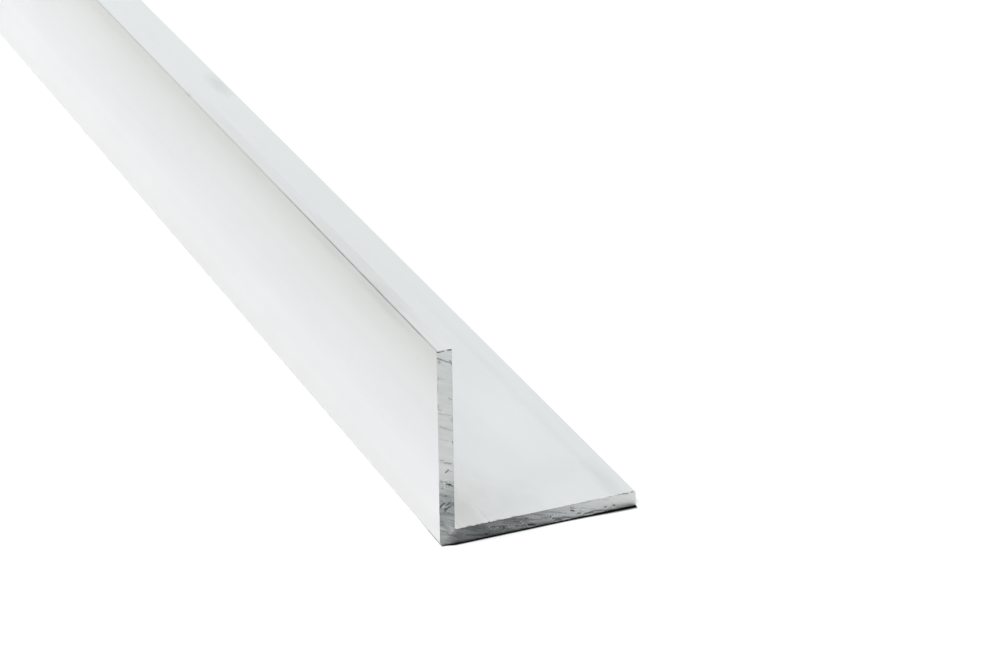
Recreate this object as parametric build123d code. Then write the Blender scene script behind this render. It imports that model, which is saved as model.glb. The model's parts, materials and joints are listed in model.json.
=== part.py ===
from build123d import *
import os

# Equal-leg aluminium angle: one straight extruded bar with an L-shaped section of even wall.
# It lies on the outside of its flat leg, with its other leg upright on the -X side.
# The bar runs along Y, and the origin is at floor level under its middle. Sizes are millimetres.

flat_leg = 40.0  # heel to toe, along the floor
upright_leg = 40.0  # heel to toe, up from the floor
wall = 3.0  # the same in both legs
stock_length = 1000.0  # a length that this section is sold in

heel_radius = 1.0  # outer corner, where the legs meet
root_radius = 0.4  # inner corner, where the legs meet
toe_radius = 0.3  # both corners of each leg's tip

heel_x = -flat_leg / 2
toe_x = heel_x + flat_leg
root_x = heel_x + wall


def round_corner(section, x, z, radius):
    """The section with the corner that lies at (x, z) rounded."""
    corner = section.vertices().sort_by_distance((x, z, 0))[0]
    return fillet(corner, radius)


def angle_section():
    """The L of the two legs, its heel at the lower left, as the extrusion die shapes it."""
    from_heel = Pos(heel_x, 0)
    low_left = (Align.MIN, Align.MIN)
    section = from_heel * Rectangle(flat_leg, wall, align=low_left)
    section += from_heel * Rectangle(wall, upright_leg, align=low_left)

    section = round_corner(section, heel_x, 0, heel_radius)
    section = round_corner(section, root_x, wall, root_radius)
    flat_toe = [(toe_x, 0), (toe_x, wall)]
    upright_toe = [(heel_x, upright_leg), (root_x, upright_leg)]
    for x, z in flat_toe + upright_toe:
        section = round_corner(section, x, z, toe_radius)
    return section


def angle_bar():
    """The section drawn out along Y to the stock length, and sawn off square at both ends."""
    return extrude(Plane.XZ * angle_section(), amount=stock_length / 2, both=True)


os.makedirs("parts", exist_ok=True)
export_step(angle_bar(), "parts/angle_bar.step")
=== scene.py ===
import json
import math
import random

import bpy
from mathutils import Matrix, Vector, noise


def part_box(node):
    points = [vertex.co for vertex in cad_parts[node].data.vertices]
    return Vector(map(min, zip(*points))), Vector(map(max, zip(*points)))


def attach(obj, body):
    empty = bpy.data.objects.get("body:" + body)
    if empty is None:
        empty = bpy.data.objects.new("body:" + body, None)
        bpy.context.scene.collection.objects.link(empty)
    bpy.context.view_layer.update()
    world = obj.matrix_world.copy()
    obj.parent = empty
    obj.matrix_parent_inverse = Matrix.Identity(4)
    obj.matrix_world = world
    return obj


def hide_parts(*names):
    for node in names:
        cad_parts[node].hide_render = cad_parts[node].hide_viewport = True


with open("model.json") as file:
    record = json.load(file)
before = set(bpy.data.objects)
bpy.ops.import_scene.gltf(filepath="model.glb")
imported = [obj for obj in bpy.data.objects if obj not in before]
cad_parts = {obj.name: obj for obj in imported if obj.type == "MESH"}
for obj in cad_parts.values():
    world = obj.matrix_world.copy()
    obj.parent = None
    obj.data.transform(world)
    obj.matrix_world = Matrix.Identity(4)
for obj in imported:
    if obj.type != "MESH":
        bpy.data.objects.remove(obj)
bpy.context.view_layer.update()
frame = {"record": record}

# Equal-leg aluminium angle, lying on its flat leg with the other leg upright on the -X side.
# The bar runs along Y. The cut that the camera sees is the near one, at the low end of Y.

MM = 0.001
NODE = "angle_bar"
low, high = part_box(NODE)
mounts = {m["name"]: m for m in frame["record"]["mounts"]}
wall = mounts["flat_leg_inside"]["pos_m"][2] - low.z
root = Vector((low.x + wall, 0, low.z + wall))

heel_radius = 1.0 * MM
root_radius = 0.4 * MM
toe_radius = 0.3 * MM

grid_cell = 0.125 * MM  # side of the squares that the cuts are divided into
same_place = grid_cell / 10  # points closer than this lie in one place
ring_growth = 1.5  # away from a cut, each division of the long faces is this much longer than the last
smooth_below = math.radians(35)  # faces that meet at less than this angle are shaded as one
blade_centre = Vector((39 * MM, 0, 144 * MM))  # the saw marks are arcs about it


def deselect_all():
    if bpy.context.object and bpy.context.object.mode == "EDIT":
        bpy.ops.object.mode_set(mode="OBJECT")
    bpy.ops.object.select_all(action="DESELECT")


def select_only(piece):
    deselect_all()
    piece.select_set(True)
    bpy.context.view_layer.objects.active = piece


# The bar


def cut_patch(x0, x1, z0, z1):
    """One rectangle of the near cut, as a grid of small squares that faces -Y."""
    bpy.ops.mesh.primitive_grid_add(
        x_subdivisions=round((x1 - x0) / grid_cell),
        y_subdivisions=round((z1 - z0) / grid_cell),
        size=1,
        location=((x0 + x1) / 2, low.y, (z0 + z1) / 2),
        rotation=(math.pi / 2, 0, 0),
    )
    bpy.ops.transform.resize(value=(x1 - x0, 1, z1 - z0))
    return bpy.context.object


def near_cut():
    """The L of the near cut: the flat leg's end with the upright's end welded on top of it."""
    flat = cut_patch(low.x, high.x, low.z, root.z)
    upright = cut_patch(low.x, root.x, root.z, high.z)
    select_only(flat)
    upright.select_set(True)
    bpy.ops.object.join()
    bpy.ops.object.transform_apply(location=True, rotation=True, scale=True)
    bpy.ops.object.mode_set(mode="EDIT")
    bpy.ops.mesh.select_all(action="SELECT")
    bpy.ops.mesh.remove_doubles(threshold=same_place)
    bpy.ops.object.mode_set(mode="OBJECT")
    return flat


def round_outer_corner(cut, x, z, inward_x, inward_z, radius):
    """Draws the small squares at an outer corner in to a quarter circle."""
    centre = Vector((x + inward_x * radius, 0, z + inward_z * radius))
    for v in cut.data.vertices:
        across = (centre.x - v.co.x) * inward_x
        up = (centre.z - v.co.z) * inward_z
        if across > 0 and up > 0:
            drawn_in = max(across, up) / math.hypot(across, up)
            v.co.x = centre.x - inward_x * across * drawn_in
            v.co.z = centre.z - inward_z * up * drawn_in


def round_root(cut):
    """Fills the inner corner with a quarter circle, by moving the edge points beside it."""
    centre = root + Vector((root_radius, 0, root_radius))
    for v in cut.data.vertices:
        beside_x = v.co.x - root.x
        beside_z = v.co.z - root.z
        on_flat = abs(beside_z) < same_place and -same_place < beside_x < root_radius
        on_upright = abs(beside_x) < same_place and 0 < beside_z < root_radius
        if on_flat:
            turn = math.pi / 4 * (1 - beside_x / root_radius)
            v.co.x = centre.x - root_radius * math.sin(turn)
            v.co.z = centre.z - root_radius * math.cos(turn)
        elif on_upright:
            turn = math.pi / 4 * (1 - beside_z / root_radius)
            v.co.x = centre.x - root_radius * math.cos(turn)
            v.co.z = centre.z - root_radius * math.sin(turn)


def draw_out(cut):
    """Draws the cut out along Y to the far end, and divides the long faces across."""
    bpy.ops.object.mode_set(mode="EDIT")
    bpy.ops.mesh.select_all(action="SELECT")
    bpy.ops.mesh.extrude_region_move(TRANSFORM_OT_translate={"value": (0, high.y - low.y, 0)})
    bpy.ops.mesh.select_all(action="SELECT")
    bpy.ops.mesh.normals_make_consistent(inside=False)
    step = grid_cell
    inwards = grid_cell
    while low.y + inwards < 0:
        for y in (low.y + inwards, high.y - inwards):
            bpy.ops.mesh.select_all(action="SELECT")
            bpy.ops.mesh.bisect(plane_co=(0, y, 0), plane_no=(0, 1, 0))
        step *= ring_growth
        inwards += step
    bpy.ops.object.mode_set(mode="OBJECT")


def plain_bar():
    deselect_all()
    bar = near_cut()
    bar.name = "finished_angle_bar"
    round_outer_corner(bar, low.x, low.z, 1, 1, heel_radius)
    round_outer_corner(bar, high.x, low.z, -1, 1, toe_radius)
    round_outer_corner(bar, high.x, root.z, -1, -1, toe_radius)
    round_outer_corner(bar, low.x, high.z, 1, -1, toe_radius)
    round_outer_corner(bar, root.x, high.z, -1, -1, toe_radius)
    round_root(bar)
    draw_out(bar)
    return bar


# Marks of the saw on the near cut. A mark is a groove or, with both ends in one place, a pit:
# the leg, then its start and its end, each as the distance from the heel along the leg and from
# the outside of the leg, and then its half width and its depth. All are in millimetres.

near_marks = [
    ("upright", 1.4, 2.7, 2.3, 1.6, 0.25, 0.06),
    ("upright", 0.6, 2.4, 1.3, 1.0, 0.20, 0.05),
    ("upright", 2.5, 1.8, 3.1, 0.4, 0.20, 0.05),
    ("upright", 3.1, 1.8, 4.6, 0.4, 0.50, 0.07),
    ("upright", 4.9, 1.0, 5.3, 0.2, 0.15, 0.06),
    ("upright", 7.45, 1.1, 7.85, 2.2, 0.18, 0.24),
    ("upright", 8.35, 1.5, 8.75, 2.3, 0.14, 0.20),
    ("upright", 9.1, 2.3, 9.1, 2.3, 0.16, 0.14),
    ("upright", 8.3, 0.3, 8.8, 1.0, 0.20, 0.26),
    ("upright", 7.0, 1.0, 7.25, 1.5, 0.14, 0.12),
    ("upright", 8.6, 2.95, 8.7, 2.5, 0.10, 0.07),
    ("upright", 9.3, 0.6, 9.6, 0.3, 0.15, 0.06),
    ("upright", 10.3, 1.4, 10.4, 1.25, 0.15, 0.16),
    ("upright", 12.0, 2.8, 12.4, 2.2, 0.16, 0.14),
    ("upright", 12.4, 2.3, 12.7, 1.6, 0.16, 0.24),
    ("upright", 12.0, 0.8, 12.1, 0.5, 0.14, 0.10),
    ("upright", 13.1, 1.7, 13.3, 1.2, 0.12, 0.09),
    ("upright", 13.3, 0.7, 13.6, 0.4, 0.20, 0.10),
    ("upright", 15.15, 1.4, 15.55, 1.95, 0.16, 0.22),
    ("upright", 15.3, 2.0, 15.15, 2.8, 0.10, 0.07),
    ("upright", 16.75, 2.5, 17.2, 1.2, 0.24, 0.10),
    ("upright", 17.2, 1.2, 17.5, 0.4, 0.14, 0.05),
    ("upright", 17.65, 1.0, 17.9, 0.3, 0.14, 0.10),
    ("upright", 20.9, 2.95, 21.2, 2.8, 0.22, 0.12),
    ("upright", 21.5, 2.0, 22.2, 0.3, 0.18, 0.04),
    ("upright", 23.4, 2.95, 24.2, 1.5, 0.16, 0.07),
    ("upright", 24.2, 1.5, 24.8, 0.4, 0.16, 0.09),
    ("upright", 25.0, 2.9, 26.3, 2.9, 0.12, 0.07),
    ("upright", 25.7, 2.8, 25.8, 2.4, 0.18, 0.06),
    ("upright", 26.6, 2.7, 27.2, 1.0, 0.20, 0.05),
    ("upright", 27.2, 0.8, 27.6, 0.2, 0.16, 0.07),
    ("upright", 28.0, 0.8, 28.3, 0.2, 0.20, 0.06),
    ("upright", 28.5, 0.1, 29.2, 0.15, 0.12, 0.10),
    ("upright", 29.7, 2.8, 30.2, 2.2, 0.22, 0.07),
    ("upright", 31.8, 0.15, 33.5, 0.15, 0.12, 0.05),
    ("upright", 34.2, 1.3, 34.5, 0.3, 0.12, 0.06),
    ("upright", 34.1, 0.2, 34.8, 0.25, 0.12, 0.09),
    ("upright", 36.8, 2.95, 37.6, 2.6, 0.20, 0.13),
    ("upright", 37.3, 2.5, 38.1, 1.0, 0.14, 0.11),
    ("upright", 38.1, 1.0, 38.6, 0.1, 0.16, 0.13),
    ("upright", 37.6, 0.6, 37.9, 0.4, 0.36, 0.09),
    ("upright", 36.9, 1.6, 37.2, 0.9, 0.12, 0.04),
    ("upright", 39.75, 2.9, 39.85, 2.1, 0.14, 0.20),
    ("upright", 39.75, 1.4, 39.8, 1.1, 0.14, 0.16),
    ("upright", 39.75, 0.8, 39.75, 0.2, 0.14, 0.20),
    ("flat", 3.4, 2.2, 4.6, 1.6, 0.40, 0.06),
    ("flat", 6.5, 2.6, 8.2, 1.9, 0.30, 0.08),
    ("flat", 5.2, 1.2, 8.4, 0.4, 0.35, 0.07),
    ("flat", 8.8, 1.9, 8.9, 1.7, 0.15, 0.14),
    ("flat", 8.6, 2.95, 9.6, 2.75, 0.12, 0.10),
    ("flat", 9.1, 0.6, 9.6, 0.3, 0.25, 0.12),
    ("flat", 9.9, 2.9, 10.4, 2.4, 0.14, 0.08),
    ("flat", 10.6, 1.8, 12.4, 1.4, 0.22, 0.09),
    ("flat", 12.2, 1.5, 13.6, 1.2, 0.22, 0.12),
    ("flat", 12.9, 1.1, 13.0, 1.0, 0.20, 0.18),
    ("flat", 13.0, 2.85, 15.2, 2.4, 0.14, 0.09),
    ("flat", 15.4, 0.9, 17.4, 0.4, 0.30, 0.08),
    ("flat", 16.0, 2.2, 20.4, 1.0, 0.20, 0.07),
    ("flat", 17.3, 2.05, 17.7, 1.9, 0.16, 0.18),
    ("flat", 18.0, 0.5, 19.2, 0.2, 0.30, 0.16),
    ("flat", 19.4, 2.9, 22.6, 2.2, 0.14, 0.06),
    ("flat", 20.5, 1.85, 20.6, 1.8, 0.12, 0.10),
    ("flat", 20.6, 1.4, 22.6, 0.9, 0.18, 0.08),
    ("flat", 22.4, 1.4, 22.5, 1.2, 0.14, 0.14),
    ("flat", 22.6, 2.2, 25.6, 1.3, 0.16, 0.06),
    ("flat", 22.8, 0.8, 25.4, 0.3, 0.22, 0.10),
    ("flat", 25.1, 0.6, 26.4, 0.2, 0.22, 0.10),
    ("flat", 26.3, 2.9, 26.5, 2.4, 0.12, 0.10),
    ("flat", 26.5, 2.3, 27.3, 1.95, 0.12, 0.12),
    ("flat", 26.6, 1.75, 27.3, 1.40, 0.16, 0.20),
    ("flat", 27.9, 1.3, 29.0, 0.9, 0.12, 0.07),
    ("flat", 28.1, 0.7, 28.6, 0.6, 0.28, 0.12),
    ("flat", 29.0, 1.7, 29.6, 1.45, 0.14, 0.08),
    ("flat", 28.5, 2.85, 30.2, 2.65, 0.12, 0.07),
    ("flat", 30.2, 1.3, 31.6, 0.9, 0.16, 0.05),
    ("flat", 30.8, 0.6, 33.0, 0.3, 0.20, 0.06),
    ("flat", 33.0, 2.6, 34.4, 2.3, 0.12, 0.05),
    ("flat", 33.7, 0.9, 33.8, 0.75, 0.22, 0.16),
    ("flat", 35.4, 0.85, 35.6, 0.65, 0.24, 0.12),
    ("flat", 32.3, 2.8, 32.4, 2.7, 0.12, 0.10),
    ("flat", 36.6, 2.95, 36.7, 2.85, 0.14, 0.16),
    ("flat", 37.2, 2.95, 38.4, 2.75, 0.14, 0.16),
    ("flat", 39.2, 2.95, 39.5, 2.85, 0.16, 0.14),
    ("flat", 36.6, 1.4, 36.8, 1.2, 0.14, 0.03),
    ("flat", 23.4, 0.35, 24.6, 0.15, 0.30, 0.12),
    ("flat", 29.4, 0.35, 31.2, 0.25, 0.25, 0.09),
]

# Torn flecks that catch the light, in the same way: the leg, their place on it and their half width.

near_flecks = [
    ("upright", 4.3, 2.0, 0.18),
    ("upright", 4.7, 1.4, 0.18),
    ("upright", 7.2, 1.7, 0.24),
    ("upright", 7.1, 2.2, 0.16),
    ("upright", 8.0, 2.2, 0.16),
    ("upright", 8.0, 0.8, 0.22),
    ("upright", 8.7, 1.5, 0.16),
    ("upright", 11.8, 2.5, 0.18),
    ("upright", 12.0, 2.3, 0.12),
    ("upright", 13.0, 0.9, 0.14),
    ("upright", 13.4, 1.8, 0.14),
    ("upright", 15.8, 2.2, 0.12),
    ("upright", 16.0, 1.1, 0.12),
    ("upright", 24.8, 1.1, 0.18),
    ("upright", 27.7, 1.0, 0.14),
    ("upright", 34.5, 1.3, 0.14),
    ("flat", 9.9, 2.0, 0.24),
    ("flat", 10.2, 1.5, 0.16),
    ("flat", 11.6, 1.4, 0.26),
    ("flat", 11.0, 1.2, 0.18),
    ("flat", 13.8, 1.2, 0.22),
    ("flat", 14.9, 0.9, 0.22),
    ("flat", 14.8, 0.6, 0.16),
    ("flat", 16.3, 1.7, 0.20),
    ("flat", 16.8, 1.1, 0.22),
    ("flat", 19.4, 0.15, 0.16),
    ("flat", 20.9, 1.7, 0.16),
    ("flat", 22.6, 0.8, 0.18),
    ("flat", 25.0, 1.65, 0.20),
    ("flat", 26.3, 2.7, 0.14),
    ("flat", 29.5, 1.2, 0.18),
    ("flat", 29.4, 0.8, 0.14),
]

# Torn areas: the leg, the middle, how far it reaches along and across the leg, and how badly it is torn.

near_torn = [
    ("upright", 2.4, 1.2, 1.4, 2.2, 0.45),
    ("upright", 4.1, 1.3, 2.1, 2.4, 0.85),
    ("upright", 8.1, 1.5, 2.0, 2.6, 1.00),
    ("upright", 12.7, 1.5, 1.8, 2.6, 0.95),
    ("flat", 6.2, 1.5, 4.0, 2.2, 0.60),
    ("flat", 11.8, 1.4, 4.6, 2.2, 1.00),
    ("flat", 16.8, 1.3, 4.6, 2.0, 1.00),
    ("flat", 23.6, 1.1, 5.0, 1.7, 0.90),
    ("flat", 28.2, 1.3, 3.0, 1.8, 0.85),
]

# Burrs along the flat leg's inner edge: how far from the heel, half width, height, and dark or bright, which
# is painted shade or a painted highlight.

near_burrs = [
    (6.0, 0.90, 0.09, "dark"),
    (7.6, 0.35, 0.12, "dark"),
    (8.5, 0.50, 0.14, "dark"),
    (9.9, 0.35, 0.16, "dark"),
    (11.6, 0.70, 0.11, "dark"),
    (14.9, 0.90, 0.06, "dark"),
    (24.6, 0.35, 0.05, "bright"),
    (26.1, 0.25, 0.06, "bright"),
    (33.4, 0.70, 0.05, "bright"),
    (35.3, 0.40, 0.07, "bright"),
]

# The far cut, which the photograph doesn't show, has marks in the manner of the near one.

far_mark_count = 34
far_fleck_count = 20
far_torn_count = 7
far_burr_count = 9
torn_reach = {"upright": 13.0, "flat": 28.0}  # how far from the heel the saw tore the metal
mark_slant = {"upright": 0.5, "flat": 3.5}  # how far along a leg a mark runs for each mm across it
shallow_share = 0.6  # depth of the marks in clean metal beside those in torn metal
torn_middle = 1.3  # the middle of a torn area, from the outside of the leg
torn_across = 1.6  # how far a torn area reaches across the leg from its middle


def far_end_marks():
    """The marks, flecks, torn areas and burrs of the far cut, in the form of the near cut's lists."""
    chance = random.Random(11)
    marks, flecks, torn, burrs = [], [], [], []
    for number in range(far_mark_count):
        leg = "upright" if number % 2 else "flat"
        along = chance.uniform(1, 38.5)
        across = chance.uniform(0.6, 2.9)
        run = chance.choice((0.1, 0.6, 1.1))
        depth = chance.uniform(0.05, 0.2) * (1 if along < torn_reach[leg] else shallow_share)
        half_width = chance.uniform(0.12, 0.24)
        marks.append((leg, along, across, along + run * mark_slant[leg], across - run, half_width, depth))
    for number in range(far_fleck_count):
        leg = "upright" if number % 2 else "flat"
        along = chance.uniform(3, torn_reach[leg])
        across = chance.uniform(0.4, 2.6)
        half_width = chance.uniform(0.12, 0.24)
        flecks.append((leg, along, across, half_width))
    for number in range(far_torn_count):
        leg = "upright" if number % 3 == 0 else "flat"
        length = chance.uniform(1.2, 1.8) if leg == "upright" else chance.uniform(2.4, 4.0)
        along = chance.uniform(2, torn_reach[leg])
        strength = chance.uniform(0.5, 1.0)
        torn.append((leg, along, torn_middle, length, torn_across, strength))
    for number in range(far_burr_count):
        along = chance.uniform(5, 38)
        # Burrs near the heel get painted shade, the others a painted highlight.
        look = "dark" if along < torn_reach["upright"] else "bright"
        half_width = chance.uniform(0.25, 0.8)
        height = chance.uniform(0.04, 0.1)
        burrs.append((along, half_width, height, look))
    return marks, flecks, torn, burrs


# Limits of the saw's relief, in mm. Distances across a leg are from its outside, and along it from the heel.

inner_face = 3
inner_face_from = 2.9  # a point farther across than this is on the inner face
inner_face_start = 3.3  # along the flat leg, past the upright's foot
rim_width = 0.3  # how far down the wall the saw broke the cut's inner rim
rim_break = {"upright": 0.08, "flat": 0.28}  # the deepest that the rim is broken
rim_steps = 0.9  # steps in the broken rim for each mm along the leg
mark_margin = 0.1  # a mark is looked for this far past its own width
# Marks and the broken rim get painted shade that grows with their depth.
darkest_mark = 0.2  # depth at which a mark is as dark as it gets
darkest_break = 0.3
break_tone = 0.5  # the darkest that the broken rim gets, from 0 to 1
burr_depth = 0.45  # how far a burr reaches along the bar from the cut
burrs_across = 2.6  # burrs colour the cut from here to the inner face
burrs_end = 39.5  # along the flat leg
burr_grain = 0.3  # size of the ragged bits of a burr
# A burr's colour is painted shade or a painted highlight.
burr_tones = {"face": 0.8, "cut": 0.3}  # how strongly a burr is coloured on the inner face and on the cut

# The blade's arcs and the torn grains: the width and length of each kind, and how deep it goes, in mm.

fine_arcs = (0.28, 5)
coarse_arcs = (0.9, 9)
torn_grains = (0.34, 0.55)
fine_depth = 0.006
coarse_depth = 0.010
torn_coarse_depth = 0.03  # added where the metal tore, as the grains are
torn_grain_depth = 0.05


def on_leg(place):
    """The leg that a place on a cut belongs to, and its distances in mm from the heel and the outside."""
    x = (place.x - low.x) / MM
    z = (place.z - low.z) / MM
    if z > x:
        return "upright", z, x
    return "flat", x, z


def off_line(along, across, start, end):
    """Distance from a place to a mark's line."""
    run, fall = end[0] - start[0], end[1] - start[1]
    length = run * run + fall * fall
    share = 0
    if length:
        share = max(0, min(1, ((along - start[0]) * run + (across - start[1]) * fall) / length))
    return math.hypot(along - start[0] - run * share, across - start[1] - fall * share)


def hollow(distance, half_width):
    """1 in the middle of a mark and nothing beside it, with soft sides."""
    share = min(distance / half_width, 1)
    return (1 - share * share) ** 2


def saw_arcs(place, torn, seed):
    """Depth in mm of the arcs that the blade left, with rough grains where the metal tore."""
    aside = (place.x - blade_centre.x) / MM
    below = (blade_centre.z - place.z) / MM
    radius = math.hypot(aside, below)
    sweep = math.atan2(aside, below) * radius

    def arcs(size, own_seed):
        width, length = size
        return 1 + noise.noise(Vector((radius / width, sweep / length, own_seed)))

    fine = arcs(fine_arcs, seed)
    coarse = arcs(coarse_arcs, seed + 5)
    grains = arcs(torn_grains, seed + 9)
    everywhere = fine_depth * fine + coarse_depth * coarse
    return everywhere + torn * (torn_coarse_depth * coarse + torn_grain_depth * grains)


def torn_share(leg, along, across, areas):
    """How badly the metal is torn at a place, from 0 to 1."""
    share = 0
    for area_leg, middle, height, reach_along, reach_across, strength in areas:
        if area_leg == leg:
            away = math.hypot((along - middle) / reach_along, (across - height) / reach_across)
            share = max(share, strength * hollow(away, 1))
    return share


def rough_rim(leg, along, across, seed):
    """How far in mm the cut's rim is broken down on the inside of a leg, as small uneven steps."""
    step = (along * rim_steps + noise.noise(Vector((along / 2, seed, 0)))) % 1
    size = 0.5 + 0.5 * noise.noise(Vector((along / 1.3, seed, 3)))
    near_rim = hollow(abs(across - inner_face), rim_width)
    return rim_break[leg] * (1 - step) * size * near_rim


def saw_the_cut(bar, y, inwards, marks, flecks, areas, seed):
    """Cuts the saw's relief into one end, always inwards, and notes its torn places, the painted shade of
    its marks and broken rim, and the painted glints of its flecks.
    """
    dark = bar.data.attributes["mark_depth"].data
    bright = bar.data.attributes["fleck"].data
    torn = bar.data.attributes["torn"].data
    for index, v in enumerate(bar.data.vertices):
        if abs(v.co.y - y) > same_place:
            continue
        leg, along, across = on_leg(v.co)
        torn[index].value = torn_share(leg, along, across, areas)
        depth = saw_arcs(v.co, torn[index].value, seed)
        for mark_leg, along_0, across_0, along_1, across_1, half_width, mark_depth in marks:
            beside = half_width + mark_margin
            near = min(along_0, along_1) - beside < along < max(along_0, along_1) + beside
            if mark_leg == leg and near:
                distance = off_line(along, across, (along_0, across_0), (along_1, across_1))
                share = hollow(distance, half_width)
                depth += mark_depth * share
                dark[index].value = max(dark[index].value, share * min(mark_depth / darkest_mark, 1))
        for fleck_leg, fleck_along, fleck_across, half_width in flecks:
            if fleck_leg == leg:
                share = hollow(math.hypot(along - fleck_along, across - fleck_across), half_width)
                bright[index].value = max(bright[index].value, share)
                depth *= 1 - share
        broken = rough_rim(leg, along, across, seed)
        v.co.y = y + inwards * (depth + broken) * MM
        if leg == "flat" and across > inner_face_from and along > inner_face_start:
            v.co.z -= broken * MM
        # painted shade in the broken rim
        dark[index].value = max(dark[index].value, min(broken / darkest_break, break_tone))


def raise_burrs(bar, y, burrs):
    """Lifts small burrs from the flat leg's inner face where the cut meets it, and gives them painted shade
    or a painted highlight.
    """
    tones = {"dark": bar.data.attributes["mark_depth"].data, "bright": bar.data.attributes["fleck"].data}
    for index, v in enumerate(bar.data.vertices):
        leg, along, across = on_leg(v.co)
        from_cut = abs(v.co.y - y) / MM
        if leg != "flat" or across < burrs_across or from_cut > burr_depth or along > burrs_end:
            continue
        for middle, half_width, height, look in burrs:
            ragged = 0.7 + 0.3 * noise.noise(Vector((along / burr_grain, middle, from_cut)))
            share = hollow(abs(along - middle), half_width) * (1 - from_cut / burr_depth) * ragged
            on_face = across > inner_face_from
            if on_face:
                v.co.z += height * share * MM
            if on_face or look == "dark":
                tone = share * burr_tones["face" if on_face else "cut"]
                tones[look][index].value = max(tones[look][index].value, tone)


def saw_both_ends(bar):
    for name in ("mark_depth", "fleck", "torn"):
        bar.data.attributes.new(name, "FLOAT", "POINT")
    far_marks, far_flecks, far_torn, far_burrs = far_end_marks()
    saw_the_cut(bar, low.y, 1, near_marks, near_flecks, near_torn, 0.0)
    saw_the_cut(bar, high.y, -1, far_marks, far_flecks, far_torn, 40.0)
    raise_burrs(bar, low.y, near_burrs)
    raise_burrs(bar, high.y, far_burrs)


# Shader nodes


class NodeTree:
    """Adds nodes to a shader tree, and links each input that is given as another node's socket."""

    def __init__(self, tree):
        self.nodes = tree.nodes
        self.links = tree.links

    def feed(self, socket, value):
        if isinstance(value, bpy.types.NodeSocket):
            self.links.new(value, socket)
        else:
            socket.default_value = value

    def add(self, kind, inputs=None, **options):
        node = self.nodes.new(kind)
        for name, value in options.items():
            setattr(node, name, value)
        for name, value in (inputs or {}).items():
            self.feed(node.inputs[name], value)
        return node

    def math(self, operation, *values):
        return self.add("ShaderNodeMath", dict(enumerate(values)), operation=operation).outputs[0]

    def vector(self, operation, *values):
        node = self.add("ShaderNodeVectorMath", dict(enumerate(values)), operation=operation)
        single = operation in ("LENGTH", "DOT_PRODUCT", "DISTANCE")
        return node.outputs["Value" if single else "Vector"]

    def ramp(self, value, low_in, high_in, low_out=0.0, high_out=1.0):
        """Goes softly from low_out to high_out while the value goes from low_in to high_in."""
        inputs = {
            "Value": value,
            "From Min": low_in,
            "From Max": high_in,
            "To Min": low_out,
            "To Max": high_out,
        }
        return self.add("ShaderNodeMapRange", inputs, interpolation_type="SMOOTHSTEP").outputs["Result"]

    def split(self, vector):
        return self.add("ShaderNodeSeparateXYZ", {0: vector}).outputs

    def join(self, x, y, z):
        return self.add("ShaderNodeCombineXYZ", {0: x, 1: y, 2: z}).outputs[0]

    def place(self):
        return self.add("ShaderNodeTexCoord").outputs["Object"]

    def attribute(self, name):
        return self.add("ShaderNodeAttribute", attribute_name=name).outputs["Fac"]

    def noise(self, vector, detail=2.0, roughness=0.5):
        inputs = {"Vector": vector, "Scale": 1.0, "Detail": detail, "Roughness": roughness}
        return self.add("ShaderNodeTexNoise", inputs).outputs["Fac"]

    def mix(self, factor, first, second):
        """The first colour where the factor is 0 and the second where it is 1."""
        node = self.add("ShaderNodeMix", data_type="RGBA")
        self.feed(node.inputs[0], factor)
        self.feed(node.inputs[6], first)
        self.feed(node.inputs[7], second)
        return node.outputs[2]

    def shaded(self, colour, share):
        """The colour made darker or lighter by a share that changes over the surface."""
        return self.vector("MULTIPLY", colour, self.join(share, share, share))

    def tone_curve(self, value, stops):
        """Tones that change softly with a value. The first stop is at 0 and the last one at 1."""
        node = self.add("ShaderNodeValToRGB", {0: value})
        node.color_ramp.interpolation = "B_SPLINE"
        elements = node.color_ramp.elements
        for place, colour in stops[1:-1]:
            elements.new(place).color = (*colour, 1)
        elements[0].color = (*stops[0][1], 1)
        elements[-1].color = (*stops[-1][1], 1)
        return node.outputs["Color"]

    def group(self, group, **inputs):
        node = self.add("ShaderNodeGroup", node_tree=group)
        for name, value in inputs.items():
            self.feed(node.inputs[name], value)
        return node.outputs


def new_group(name, inputs, output):
    """A node group with the named inputs and one named output; gives its tree, inputs and output."""
    group = bpy.data.node_groups.new(name, "ShaderNodeTree")
    for socket, (kind, value) in inputs.items():
        made = group.interface.new_socket(socket, in_out="INPUT", socket_type=f"NodeSocket{kind}")
        made.default_value = value
    group.interface.new_socket(output, in_out="OUTPUT", socket_type="NodeSocketFloat")
    tree = NodeTree(group)
    given = tree.add("NodeGroupInput").outputs
    result = tree.add("NodeGroupOutput").inputs[output]
    return group, tree, given, result


def drawn_lines_group():
    """Lines of the given width that run along the bar, uneven like a die's."""
    inputs = {"Place": ("Vector", (0, 0, 0)), "Width": ("Float", MM), "Length": ("Float", 1.0)}
    group, tree, given, result = new_group("drawn_lines", inputs, "Lines")
    size = tree.join(given["Width"], given["Length"], given["Width"])
    tree.feed(result, tree.noise(tree.vector("DIVIDE", given["Place"], size), detail=3, roughness=0.6))
    return group


def soft_patch_group():
    """A patch about a centre that fades out raggedly, for smudges, stains, darker patches and a painted
    sheen.
    """
    inputs = {
        "Place": ("Vector", (0, 0, 0)),
        "Centre": ("Vector", (0, 0, 0)),
        "Reach": ("Vector", (MM, MM, MM)),
        "Strength": ("Float", 1.0),
    }
    group, tree, given, result = new_group("soft_patch", inputs, "Mask")
    offset = tree.vector("DIVIDE", tree.vector("SUBTRACT", given["Place"], given["Centre"]), given["Reach"])
    ragged = tree.noise(tree.vector("MULTIPLY", offset, (2.2, 2.2, 2.2)), detail=4)
    away = tree.math("ADD", tree.vector("LENGTH", offset), tree.math("SUBTRACT", ragged, 0.5))
    tree.feed(result, tree.math("MULTIPLY", tree.ramp(away, 0.15, 1.1, 1, 0), given["Strength"]))
    return group


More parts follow.
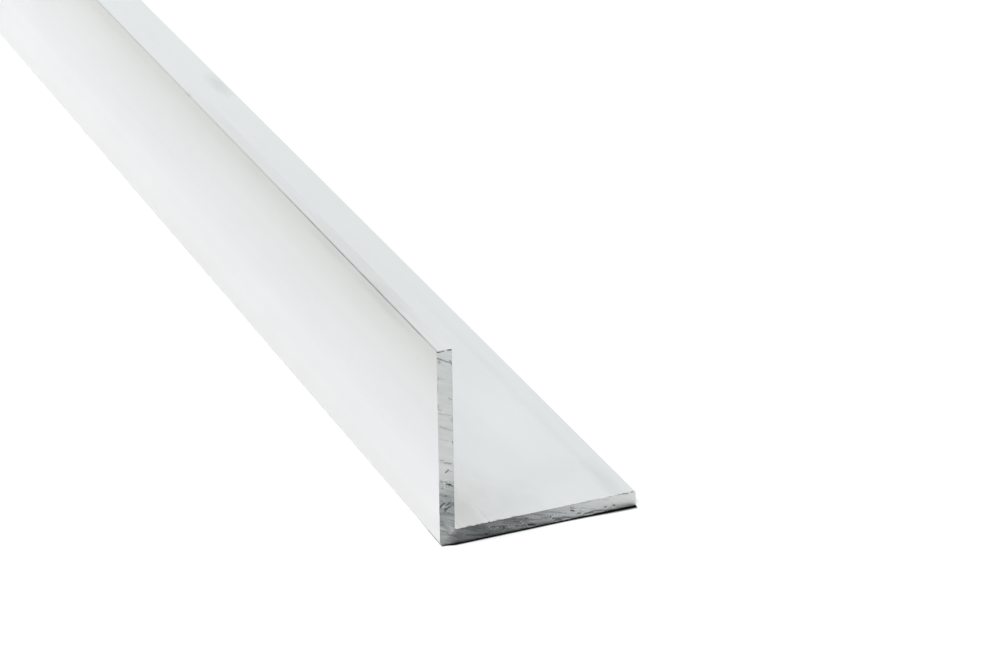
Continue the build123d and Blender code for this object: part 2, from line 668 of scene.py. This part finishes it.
drawn_lines = drawn_lines_group()
soft_patch = soft_patch_group()


def new_material(name):
    material = bpy.data.materials.new(name)
    material.use_nodes = True
    tree = NodeTree(material.node_tree)
    return material, tree, tree.nodes["Principled BSDF"]


def from_heel(x, y, z):
    """A place by its distances in mm from the heel, from the near cut and from the floor."""
    return (low.x + x * MM, low.y + y * MM, low.z + z * MM)


def reach(x, y, z):
    """How far a patch spreads from its centre along each axis, from mm."""
    return (x * MM, y * MM, z * MM)


# Mill finish of the long faces

mill_colour = (0.645, 0.664, 0.667)
smudge_colour = (0.40, 0.41, 0.40, 1)
streak_colour = (0.385, 0.41, 0.42, 1)
near_root_colour = (0.415, 0.418, 0.39, 1)
sheen_colour = (0.68, 0.715, 0.72, 1)
# painted shade for the upright's top edge
edge_shade_colour = (0.16, 0.165, 0.16, 1)
# painted shade and painted highlights for the burrs
burr_shade_colour = (0.09, 0.09, 0.085, 1)
burr_highlight_colour = (0.9, 0.9, 0.9, 1)
unchanged = (1, 1, 1, 1)  # a tone that leaves the colour as it is

# Painted shading: how the outside of the upright leg changes from its foot to its top edge, lighter low down
# where it reflects the floor.
outer_painted_shading = [
    (0.0, (0.93, 0.905, 0.895)),
    (0.30, (0.925, 0.91, 0.92)),
    (0.50, (0.853, 0.848, 0.858)),
    (0.72, (0.842, 0.833, 0.828)),
    (0.90, (0.746, 0.746, 0.723)),
    (1.0, (0.68, 0.67, 0.645)),
]

# Each patch: its centre, its reach and its strength. The smudges are along the upright's top edge, and the
# streaks, the darker patches near the root and the painted sheen are on the flat leg's inner face.
smudges = [
    (from_heel(0, 27, 38.6), reach(6, 17, 1.7), 0.66),
    (from_heel(0, 56, 38.6), reach(6, 13, 1.5), 0.50),
    (from_heel(0.2, 141, 39.8), reach(0.9, 2.5, 0.9), 0.30),
    (from_heel(0, 98, 38.8), reach(6, 9, 1.2), 0.22),
    (from_heel(0, 42, 33), reach(6, 40, 10), 0.04),
    (from_heel(2, 42, 40), reach(5, 48, 0.8), 0.24),
    (from_heel(2, 108, 40), reach(5, 45, 0.8), 0.15),
]
streaks_on_flat = [
    (from_heel(17, 4, 3), reach(9, 12, 2), 0.16),
    (from_heel(27, 13, 3), reach(11, 6, 2), 0.06),
    (from_heel(36.6, 5, 3), reach(2.6, 14, 2), 0.20),
    (from_heel(36.0, 55, 3), reach(1.4, 65, 2), 0.10),
    (from_heel(38, 237, 3), reach(2.6, 10, 2), 0.28),
    (from_heel(4.3, 2, 3), reach(0.25, 4, 2), 0.30),
    (from_heel(10.1, 3, 3), reach(0.25, 5, 2), 0.28),
]
patches_near_root = [
    (from_heel(6.5, 6, 3), reach(5, 13, 2), 0.34),
    (from_heel(9, 11, 3), reach(9, 20, 2), 0.20),
]
# A painted sheen: a lighter patch on the flat leg's inner face.
sheens = [
    (from_heel(30, 38, 3), reach(10, 22, 2), 0.45),
]


def patched(tree, place, colour, patches, patch_colour):
    """The colour with patches of another colour over it."""
    for centre, patch_reach, strength in patches:
        patch = tree.group(soft_patch, Place=place, Centre=centre, Reach=patch_reach, Strength=strength)
        colour = tree.mix(patch["Mask"], colour, patch_colour)
    return colour


def die_lines(tree, place):
    """The broad die lines, and the lines of all three widths together."""
    broad = tree.group(drawn_lines, Place=place, Width=3.0 * MM, Length=350 * MM)["Lines"]
    middling = tree.group(drawn_lines, Place=place, Width=0.8 * MM, Length=250 * MM)["Lines"]
    fine = tree.group(drawn_lines, Place=place, Width=0.18 * MM, Length=120 * MM)["Lines"]
    lines = tree.math("ADD", tree.math("MULTIPLY", broad, 0.5), tree.math("MULTIPLY", middling, 0.3))
    return broad, tree.math("ADD", lines, tree.math("MULTIPLY", fine, 0.2))


def outside_painted_shading(tree, x, z):
    """Painted shading for the outside of the upright leg, half as strong at its top edge, and none
    elsewhere.
    """
    on_outside = tree.ramp(x, low.x + 0.1 * MM, low.x + 0.5 * MM, 1, 0)
    below_edge = tree.ramp(z, high.z - 0.4 * MM, high.z - 0.1 * MM, 1, 0.5)
    strength = tree.math("MULTIPLY", on_outside, below_edge)
    up = tree.math("DIVIDE", tree.math("SUBTRACT", z, low.z), high.z - low.z)
    return tree.mix(strength, unchanged, tree.tone_curve(up, outer_painted_shading))


def edge_painted_shade(tree, place, x, y, z):
    """Painted shade along the upright's outer top edge, strongest past the first 9 mm and faint from 100 mm
    on.
    """
    off_edge = tree.vector("DISTANCE", tree.join(x, 0.0, z), (low.x, 0, high.z))
    dark_line = tree.ramp(off_edge, 0.12 * MM, 0.26 * MM, 1, 0)
    fading = tree.ramp(y, low.y + 60 * MM, low.y + 100 * MM, 0.7, 0.04)
    at_cut = tree.ramp(y, low.y, low.y + 9 * MM, 0.3, 1)
    dark_line = tree.math("MULTIPLY", tree.math("MULTIPLY", dark_line, fading), at_cut)
    unevenness = tree.noise(tree.vector("DIVIDE", place, (MM, 6 * MM, MM)), detail=3)
    return tree.math("MULTIPLY", dark_line, tree.ramp(unevenness, 0.3, 0.6, 0.5, 1))


def mill_finish():
    """Drawn metal: die lines along the bar at three widths and patches, with painted shading down the
    upright's outside, painted shade along its top edge, painted light far off, and painted shade and
    highlights on the burrs.
    """
    material, tree, shader = new_material("mill_finish")
    place = tree.place()
    x, y, z = tree.split(place)
    broad, lines = die_lines(tree, place)
    handled = tree.noise(tree.vector("DIVIDE", place, (12 * MM, 26 * MM, 9 * MM)))
    # Painted light: the metal grows paler from 140 to 280 mm past the near cut, like a haze of light far
    # off.
    painted_light_far_off = tree.ramp(y, low.y + 140 * MM, low.y + 280 * MM, 1, 1.03)
    shading = tree.math("MULTIPLY", tree.ramp(handled, 0.35, 0.65, 0.995, 1.005), painted_light_far_off)
    colour = tree.shaded(mill_colour, shading)
    # painted shading down the outside of the upright leg
    colour = tree.vector("MULTIPLY", colour, outside_painted_shading(tree, x, z))
    colour = patched(tree, place, colour, smudges, smudge_colour)
    colour = patched(tree, place, colour, streaks_on_flat, streak_colour)
    colour = patched(tree, place, colour, patches_near_root, near_root_colour)
    colour = patched(tree, place, colour, sheens, sheen_colour)
    # painted shade along the upright's top edge, broken up unevenly
    colour = tree.mix(edge_painted_shade(tree, place, x, y, z), colour, edge_shade_colour)
    # painted shade and painted highlights on the burrs
    colour = tree.mix(tree.attribute("mark_depth"), colour, burr_shade_colour)
    colour = tree.mix(tree.attribute("fleck"), colour, burr_highlight_colour)
    tree.feed(shader.inputs["Base Color"], colour)
    tree.feed(shader.inputs["Roughness"], tree.ramp(broad, 0.3, 0.7, 0.405, 0.435))
    shader.inputs["Metallic"].default_value = 1
    inputs = {"Height": lines, "Distance": 0.02 * MM, "Strength": 0.022}
    tree.feed(shader.inputs["Normal"], tree.add("ShaderNodeBump", inputs).outputs[0])
    return material


# Sawn metal of the two cuts

# Painted shade in the grooves, pits and broken rim, and painted glints on the flecks.
groove_shade_colour = (0.04, 0.044, 0.044, 1)
torn_fleck_colour = (0.33, 0.34, 0.34, 1)
clean_fleck_colour = (0.60, 0.61, 0.62, 1)
green_tint = (0.98, 1.01, 0.98, 1)
violet_tint = (1.0, 0.99, 1.02, 1)

# Each leg's cut from the heel to the tip: fairly light at the heel, dark where it tore, then clean.
upright_tones = [
    (0.0, (0.30, 0.315, 0.315)),
    (0.06, (0.29, 0.305, 0.305)),
    (0.13, (0.22, 0.235, 0.235)),
    (0.28, (0.25, 0.265, 0.26)),
    (0.37, (0.46, 0.48, 0.475)),
    (0.50, (0.44, 0.46, 0.455)),
    (0.92, (0.43, 0.45, 0.445)),
    (1.0, (0.46, 0.475, 0.475)),
]
flat_tones = [
    (0.0, (0.27, 0.28, 0.28)),
    (0.04, (0.24, 0.25, 0.25)),
    (0.10, (0.10, 0.107, 0.11)),
    (0.34, (0.16, 0.167, 0.167)),
    (0.55, (0.30, 0.312, 0.316)),
    (0.76, (0.50, 0.515, 0.515)),
    (1.0, (0.56, 0.57, 0.57)),
]


def blade_streaks(tree, x, y, z):
    """Narrow streaks along the blade's arcs, and narrow and wide ones together, other ones on each cut."""
    aside = tree.math("SUBTRACT", x, blade_centre.x)
    below = tree.math("SUBTRACT", blade_centre.z, z)
    radius = tree.vector("LENGTH", tree.join(aside, 0.0, below))
    sweep = tree.math("MULTIPLY", tree.math("ARCTAN2", aside, below), radius)
    which_cut = tree.math("MULTIPLY", y, 37.0)

    def streaks(width, length):
        across = tree.math("DIVIDE", radius, width)
        along = tree.math("DIVIDE", sweep, length)
        return tree.noise(tree.join(across, along, which_cut), detail=3, roughness=0.6)

    wide = streaks(0.7 * MM, 7 * MM)
    narrow = streaks(0.22 * MM, 4 * MM)
    return narrow, tree.math("ADD", tree.math("MULTIPLY", wide, 0.6), tree.math("MULTIPLY", narrow, 0.4))


def heel_edge_shade(tree, out, up):
    """A painted shade that darkens the cut's lowest edge near the heel, where it faces the shadowed floor,
    and leaves the rest as it is.
    """
    height = tree.math("SUBTRACT", up, tree.ramp(out, 0.6 * MM, 2.0 * MM, 0.16 * MM, 0.0))
    at_heel = tree.ramp(out, 0.5 * MM, 1.4 * MM, 0.6, 0.2)
    tone = tree.math("MAXIMUM", at_heel, tree.ramp(out, 1.5 * MM, 6 * MM, 0.2, 1))
    return tree.ramp(height, 0.05 * MM, 0.4 * MM, tone, 1)


def saw_cut():
    """Sawn metal: torn and dark towards the heel, clean and light away from it, with the blade's arcs."""
    material, tree, shader = new_material("saw_cut")
    place = tree.place()
    x, y, z = tree.split(place)
    out = tree.math("SUBTRACT", x, low.x)
    up = tree.math("SUBTRACT", z, low.z)
    leg_length = high.x - low.x
    on_upright = tree.ramp(tree.math("SUBTRACT", up, out), -0.5 * MM, 0.5 * MM)
    upright = tree.tone_curve(tree.math("DIVIDE", up, leg_length), upright_tones)
    flat = tree.tone_curve(tree.math("DIVIDE", out, leg_length), flat_tones)
    colour = tree.mix(on_upright, flat, upright)
    narrow, streaks = blade_streaks(tree, x, y, z)
    clean = tree.ramp(tree.vector("LENGTH", colour), 0.35, 0.75)
    weaker_if_clean = tree.math("MULTIPLY", clean, 0.35)
    darkest = tree.math("ADD", weaker_if_clean, 0.58)
    brightest = tree.math("SUBTRACT", 1.42, weaker_if_clean)
    colour = tree.shaded(colour, tree.ramp(streaks, 0.32, 0.68, darkest, brightest))
    grain = tree.noise(tree.vector("DIVIDE", place, (0.34 * MM, MM, 0.3 * MM)), detail=3, roughness=0.65)
    grain = tree.ramp(grain, 0.36, 0.64, 0.74, 1.32)
    colour = tree.mix(tree.attribute("torn"), colour, tree.shaded(colour, grain))
    blotches = tree.noise(tree.vector("DIVIDE", place, (1.3 * MM, MM, 1.1 * MM)))
    tint = tree.mix(tree.ramp(blotches, 0.42, 0.58), green_tint, violet_tint)
    colour = tree.mix(clean, tree.vector("MULTIPLY", colour, tint), colour)
    # painted shade on the cut's lowest edge near the heel
    colour = tree.shaded(colour, heel_edge_shade(tree, out, up))
    # painted shade in the grooves, pits and broken rim, and painted glints on the flecks
    colour = tree.mix(tree.attribute("mark_depth"), colour, groove_shade_colour)
    fleck_colour = tree.mix(clean, torn_fleck_colour, clean_fleck_colour)
    colour = tree.mix(tree.attribute("fleck"), colour, fleck_colour)
    tree.feed(shader.inputs["Base Color"], colour)
    tree.feed(shader.inputs["Roughness"], tree.ramp(narrow, 0.3, 0.7, 0.42, 0.6))
    shader.inputs["Metallic"].default_value = 1
    inputs = {"Height": streaks, "Distance": 0.04 * MM, "Strength": 0.7}
    tree.feed(shader.inputs["Normal"], tree.add("ShaderNodeBump", inputs).outputs[0])
    return material


def dress(bar):
    """Sawn metal on the two ends, which are still flat, and mill finish on the rest."""
    bar.data.materials.append(mill_finish())
    bar.data.materials.append(saw_cut())
    for face in bar.data.polygons:
        face.material_index = 1 if abs(face.normal.y) > 0.5 else 0


bar = plain_bar()
dress(bar)
saw_both_ends(bar)
select_only(bar)
bpy.ops.object.shade_smooth_by_angle(angle=smooth_below)
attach(bar, "root")
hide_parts(NODE)


# Floor, light and camera

floor_size = 40  # in metres
floor_below = 0.05 * MM
white_light = 1.3  # brightness of the plain white behind the floor
floor_colour = (0.97, 0.97, 0.97, 1)
shade_colour = (0.004, 0.004, 0.004, 1)

# How far the dark shade under the bar reaches out over the floor: in front of the cut, at the heel,
# along the flat leg and at its tip, and then beside the bar, past the tip and past the heel.
shade_at_heel = 0.04 * MM
shade_at_cut = 0.75 * MM
shade_at_tip = 1.62 * MM
shade_past_tip = 0.5 * MM
shade_past_heel = 0.8 * MM

# The share of the shade beside the bar that is left farther in from the cut.
share_behind_tip = 0.2
share_behind_heel = 0.7


def floor_white():
    """White, with a painted near-black shadow close to the cuts and the flat leg's tip, where the bar rests
    on it.
    """
    material, tree, shader = new_material("floor_white")
    place = tree.place()
    x, y, z = tree.split(place)
    from_cut = tree.math("SUBTRACT", tree.math("ABSOLUTE", y), high.y)
    behind_tip = share_behind_tip * shade_past_tip
    behind_heel = share_behind_heel * shade_past_heel
    tip_line = tree.ramp(from_cut, -1.2 * MM, 0, behind_tip, shade_past_tip)
    past_tip = tree.math("DIVIDE", tree.math("SUBTRACT", x, high.x - toe_radius), tip_line)
    heel_line = tree.ramp(from_cut, -14 * MM, -4 * MM, behind_heel, shade_past_heel)
    past_heel = tree.math("DIVIDE", tree.math("SUBTRACT", low.x + heel_radius, x), heel_line)
    past_side = tree.math("MAXIMUM", past_tip, past_heel)
    along_cut = tree.ramp(x, low.x + 0.9 * MM, low.x + 3.2 * MM, shade_at_heel, shade_at_cut)
    to_tip = tree.ramp(x, 4 * MM, high.x, 0, shade_at_tip - shade_at_cut)
    past_cut = tree.math("DIVIDE", from_cut, tree.math("ADD", along_cut, to_tip))
    past = tree.vector("LENGTH", tree.vector("MAXIMUM", tree.join(past_side, past_cut, 0.0), (0, 0, 0)))
    shade = tree.ramp(past, 0.42, 1.08, 1, 0)
    tree.feed(shader.inputs["Base Color"], tree.mix(shade, floor_colour, shade_colour))
    shader.inputs["Roughness"].default_value = 0.9
    shader.inputs["Specular IOR Level"].default_value = 0
    return material


def pale_floor():
    deselect_all()
    bpy.ops.mesh.primitive_plane_add(size=floor_size, location=(0, 0, low.z - floor_below))
    floor = bpy.context.object
    floor.name = "floor"
    bpy.ops.object.transform_apply(location=True)
    floor.data.materials.append(floor_white())


dome_level = 0.62

# Soft lights in the dome: the way to each one, the cosine at which it starts, and its strength.
soft_lights = [
    ((0, 0, 1), 0.5, 0.3),
    ((-0.75, 0, 0.65), 0.7, 2.95),
    ((0.355, 0.832, 0.425), 0.6, 0.56),
    ((0.2, -0.85, 0.5), 0.6, 0.6),
]


def studio_dome():
    """A dim white dome with broad soft lights, and plain white where the camera looks past the floor."""
    world = bpy.data.worlds.new("studio_dome")
    bpy.context.scene.world = world
    world.use_nodes = True
    tree = NodeTree(world.node_tree)
    tree.nodes.clear()
    direction = tree.add("ShaderNodeTexCoord").outputs["Generated"]
    dome = dome_level
    for way, start, strength in soft_lights:
        toward = tree.vector("DOT_PRODUCT", direction, Vector(way).normalized())
        dome = tree.math("ADD", dome, tree.ramp(toward, start, 1, 0, strength))
    seen = tree.add("ShaderNodeLightPath").outputs["Is Camera Ray"]
    strength = tree.add("ShaderNodeMix", {0: seen, 2: dome, 3: white_light}).outputs[0]
    background = tree.add("ShaderNodeBackground", {"Color": (1, 1, 1, 1), "Strength": strength})
    tree.add("ShaderNodeOutputWorld", {"Surface": background.outputs[0]})


camera_from_heel = Vector((-197.9, -493.1, 293.2)) * MM
camera_yaw = math.radians(23.10)
camera_pitch = math.radians(25.17)
camera_roll = math.radians(-0.52)
camera_lens = 117.9  # in mm
camera_sensor = 36  # its width in mm
camera_nearest = 0.01  # in metres


def photo_camera():
    """The photograph's camera, placed from the heel of the near cut."""
    bpy.ops.object.camera_add()
    camera = bpy.context.object
    camera.name = "photo_camera"
    turn = (
        Matrix.Rotation(-camera_yaw, 4, "Z")
        @ Matrix.Rotation(math.pi / 2 - camera_pitch, 4, "X")
        @ Matrix.Rotation(camera_roll, 4, "Z")
    )
    camera.matrix_world = Matrix.Translation(Vector(low) + camera_from_heel) @ turn
    camera.data.sensor_width = camera_sensor
    camera.data.lens = camera_lens
    camera.data.clip_start = camera_nearest
    bpy.context.scene.camera = camera


pale_floor()
studio_dome()
photo_camera()
bpy.context.scene.view_settings.view_transform = "Standard"
